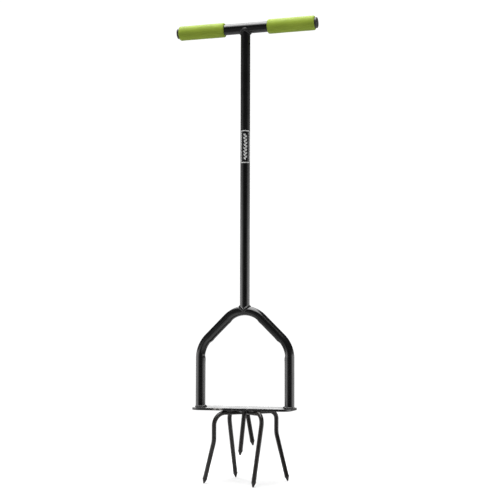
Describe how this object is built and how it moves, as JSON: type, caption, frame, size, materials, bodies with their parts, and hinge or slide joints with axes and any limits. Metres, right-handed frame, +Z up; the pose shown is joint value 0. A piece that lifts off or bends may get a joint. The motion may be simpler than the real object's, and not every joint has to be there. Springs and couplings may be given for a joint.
{
  "type": "lawn aerator fork",
  "caption": "T-handled steel hand tool with foam grips, a straight shaft, a bent yoke, a foot plate and splayed, twisted rod tines for loosening and aerating turf.",
  "frame": {"origin": "on the shaft's axis, in the plane of the four outer tine tips, which is the ground when the tool stands", "axes": "+Z up the shaft towards the T-handle, +X along the handle to its right grip, -Y towards the front"},
  "size_m": [0.304, 0.1532, 0.9527],
  "materials": {
    "black_powder_coat": "glossy black powder coat",
    "coated_weld": "powder coat over a rippled weld bead",
    "coated_rod": "semi-gloss black coat, worn at the points",
    "green_foam": "matt closed-cell foam",
    "black_plastic": "moulded, satin",
    "printed_label": "thin printed film"
  },
  "bodies": {
    "root": {"handle_tube": "black_powder_coat", "shaft_tube": "black_powder_coat", "yoke_tube": "black_powder_coat", "foot_plate": "black_powder_coat", "left_grip": "green_foam", "right_grip": "green_foam", "left_end_plug": "black_plastic", "right_end_plug": "black_plastic", "shaft_label": "printed_label", "weld_handle_shaft": "coated_weld", "weld_shaft_yoke": "coated_weld", "weld_left_leg": "coated_weld", "weld_right_leg": "coated_weld", "weld_hub": "coated_weld", "weld_tine_back_right": "coated_weld", "weld_tine_back_left": "coated_weld", "weld_tine_front_left": "coated_weld", "weld_tine_front_right": "coated_weld", "tine_back_right": "coated_rod", "tine_back_left": "coated_rod", "tine_front_left": "coated_rod", "tine_front_right": "coated_rod", "inner_tine_front": "coated_rod", "inner_tine_back": "coated_rod"}
  },
  "joints": []
}
